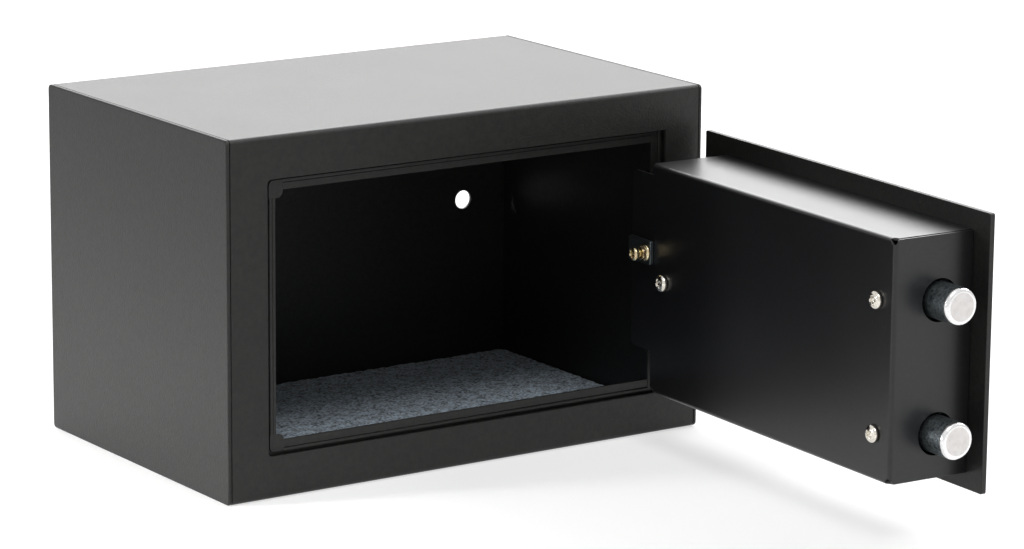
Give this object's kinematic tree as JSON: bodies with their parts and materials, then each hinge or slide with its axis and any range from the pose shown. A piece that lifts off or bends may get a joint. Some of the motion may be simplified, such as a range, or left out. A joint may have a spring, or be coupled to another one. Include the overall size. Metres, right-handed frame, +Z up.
{
  "type": "small steel safe",
  "caption": "Small black steel safe with a flush side-hinged door standing open, two round bolts thrown, a folded inner lock cover and a felt floor mat.",
  "frame": {"origin": "middle of the cabinet's base, on the surface it stands on", "axes": "+Z up, +Y from the front opening to the rear wall, +X to the cabinet's right as seen from the front, where the door is hinged"},
  "size_m": [0.3259, 0.4644, 0.198],
  "materials": {
    "black_powder": "fine-textured satin black powder coat on folded sheet steel",
    "black_cover": "satin black powder coat on thinner sheet steel, a shade darker",
    "nickel": "bright nickel plate on pan-head screws",
    "chrome": "bright chrome plate",
    "zinc": "dull grey zinc plate",
    "yellow_zinc": "yellow passivated zinc plate",
    "bright_steel": "bare bright steel, lightly oiled",
    "brass": "plain brass, turned",
    "grey_felt": "mottled blue-grey needle felt",
    "black_plastic": "satin black moulded plastic"
  },
  "bodies": {
    "cabinet": {"cabinet_wrap": "black_powder", "side_panel_left": "black_powder", "side_panel_right": "black_powder", "corner_tab_top": "black_powder", "corner_tab_bottom": "black_powder", "strike_channel": "black_powder", "floor_mat": "grey_felt", "hinge_bracket_top": "black_powder", "hinge_bracket_bottom": "black_powder", "hinge_pin": "bright_steel", "pin_clip": "bright_steel", "hinge_washer": "brass"},
    "door": {"door_plate": "black_powder", "lock_cover": "black_cover", "hinge_arm": "black_powder", "clamp_plate": "zinc", "clamp_nut": "yellow_zinc", "clamp_screw": "yellow_zinc", "bolt_guide": "bright_steel", "cover_screw_hinge": "nickel", "cover_screw_top": "nickel", "cover_screw_bottom": "nickel", "carrier_stud_low": "bright_steel", "carrier_stud_high": "bright_steel", "dead_stud_near": "bright_steel", "dead_stud_far": "bright_steel", "knob_rose": "chrome", "shaft_bush": "brass", "lock_barrel": "chrome", "lock_nut": "zinc"},
    "bolts": {"bolt_top": "chrome", "bolt_bottom": "chrome", "bolt_nut_top": "zinc", "bolt_nut_bottom": "zinc", "bolt_carrier": "zinc"},
    "knob": {"knob": "black_plastic", "knob_shaft": "bright_steel", "crank": "bright_steel"},
    "key_plug": {"lock_plug": "brass", "lock_cam": "bright_steel"},
    "dead_slide": {"dead_slide": "zinc"}
  },
  "joints": [
    {"name": "door_hinge", "type": "hinge", "parent": "cabinet", "child": "door", "pos_m": [0.1458, -0.0875, 0.106], "axis": [0, 0, 1], "range_deg": [-87.5, 9.5]},
    {"name": "knob_turn", "type": "hinge", "parent": "door", "child": "knob", "pos_m": [0.1479, -0.26856, 0.099], "axis": [-0.999, 0.0436, 0], "range_deg": [0, 90]},
    {"name": "bolt_throw", "type": "slide", "parent": "door", "child": "bolts", "axis": [0.0436, 0.999, 0], "range_m": [0, 0.015]},
    {"name": "key_turn", "type": "hinge", "parent": "door", "child": "key_plug", "pos_m": [0.15096, -0.19863, 0.099], "axis": [0.999, -0.0436, 0], "range_deg": [0, 90]},
    {"name": "dead_slide_lift", "type": "slide", "parent": "door", "child": "dead_slide", "axis": [0, 0, 1], "range_m": [0, 0.008]}
  ],
  "couplings": [
    {"joint": "knob_turn", "follows": "bolt_throw", "rad_per_m": 104.72},
    {"joint": "dead_slide_lift", "follows": "key_turn", "m_per_rad": 0.0050929}
  ]
}
